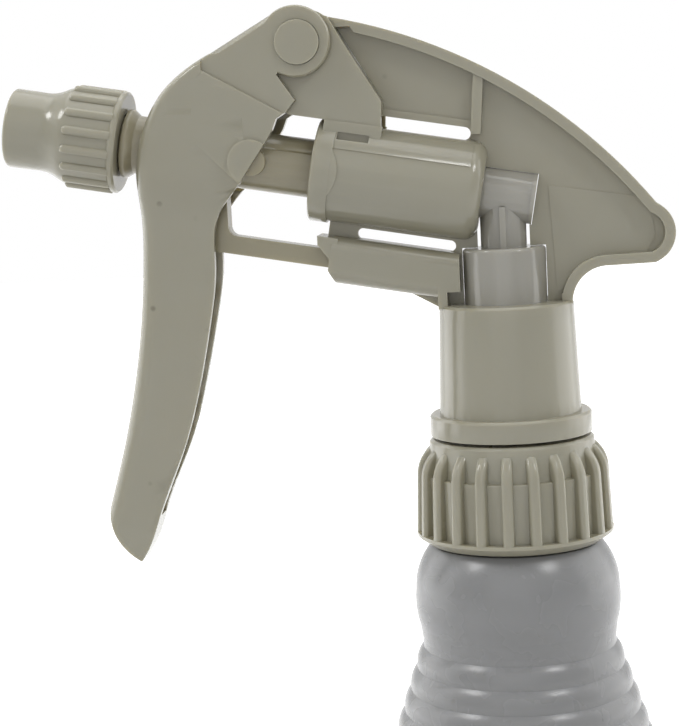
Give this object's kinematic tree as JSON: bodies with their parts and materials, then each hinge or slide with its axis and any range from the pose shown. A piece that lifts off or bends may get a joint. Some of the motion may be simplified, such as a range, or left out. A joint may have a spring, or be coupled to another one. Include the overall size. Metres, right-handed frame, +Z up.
{
  "type": "hand mister",
  "caption": "Trigger spray bottle: screw closure, curved lever that drives a hollow sliding rod, and a turning spray nozzle.",
  "frame": {"origin": "centre of the bottle's base, on the surface it stands on", "axes": "+Z up along the bottle's axis, the nozzle points to -X and the tail of the fin to +X, +Y completes the right-handed frame"},
  "size_m": [0.1231, 0.072, 0.2675],
  "materials": {
    "bottle_white": "satin white blown plastic",
    "ivory": "glossy ivory moulding",
    "slide_ivory": "smooth slightly yellow moulding",
    "natural_white": "slightly translucent white moulding",
    "soft_seal": "soft matt seal",
    "spring_steel": "drawn wire",
    "ball_steel": "polished ball"
  },
  "bodies": {
    "bottle": {"bottle": "bottle_white"},
    "head": {"body_frame": "ivory", "riser_elbow": "natural_white", "riser_plug": "natural_white", "pump_cylinder": "natural_white", "rod_guide": "natural_white", "tube_retainer": "natural_white", "neck_gasket": "soft_seal", "dip_tube": "natural_white", "return_spring": "spring_steel"},
    "closure": {"closure_cap": "ivory"},
    "trigger": {"trigger": "ivory"},
    "slide": {"pump_slide": "slide_ivory", "piston_cup": "natural_white", "spinner": "natural_white", "discharge_spring": "spring_steel", "nozzle_seal": "soft_seal"},
    "nozzle": {"nozzle_cap": "ivory", "nozzle_insert": "ivory"},
    "inlet_ball": {"inlet_ball": "ball_steel"},
    "discharge_poppet": {"discharge_poppet": "natural_white"}
  },
  "joints": [
    {"name": "head_lift", "type": "slide", "parent": "bottle", "child": "head", "axis": [0, 0, 1], "range_m": [0, 0.01058]},
    {"name": "closure_turn", "type": "hinge", "parent": "head", "child": "closure", "pos_m": [0, 0, 0.18], "axis": [0, 0, 1], "range_deg": [0, 900]},
    {"name": "trigger_pivot", "type": "hinge", "parent": "head", "child": "trigger", "pos_m": [-0.0335, 0, 0.26125], "axis": [0, -1, 0], "range_deg": [0, 20.25]},
    {"name": "rod_slide", "type": "slide", "parent": "head", "child": "slide", "axis": [0.9833, 0, -0.1822], "range_m": [0, 0.0076], "stiffness_N_per_m": 80, "springref_m": -0.0086, "deforming": ["return_spring"]},
    {"name": "nozzle_turn", "type": "hinge", "parent": "slide", "child": "nozzle", "pos_m": [-0.07571, 0, 0.24753], "axis": [-0.9833, 0, 0.1822], "range_deg": [0, 270]},
    {"name": "inlet_ball_lift", "type": "slide", "parent": "head", "child": "inlet_ball", "axis": [0, 0, 1], "range_m": [0, 0.001]},
    {"name": "discharge_lift", "type": "slide", "parent": "slide", "child": "discharge_poppet", "axis": [-0.9833, 0, 0.1822], "range_m": [0, 0.0008], "stiffness_N_per_m": 60, "springref_m": -0.002, "deforming": ["discharge_spring"]}
  ],
  "couplings": [
    {"joint": "closure_turn", "follows": "head_lift", "rad_per_m": 1484.3},
    {"joint": "trigger_pivot", "follows": "rod_slide", "rad_per_m": 46.49}
  ]
}
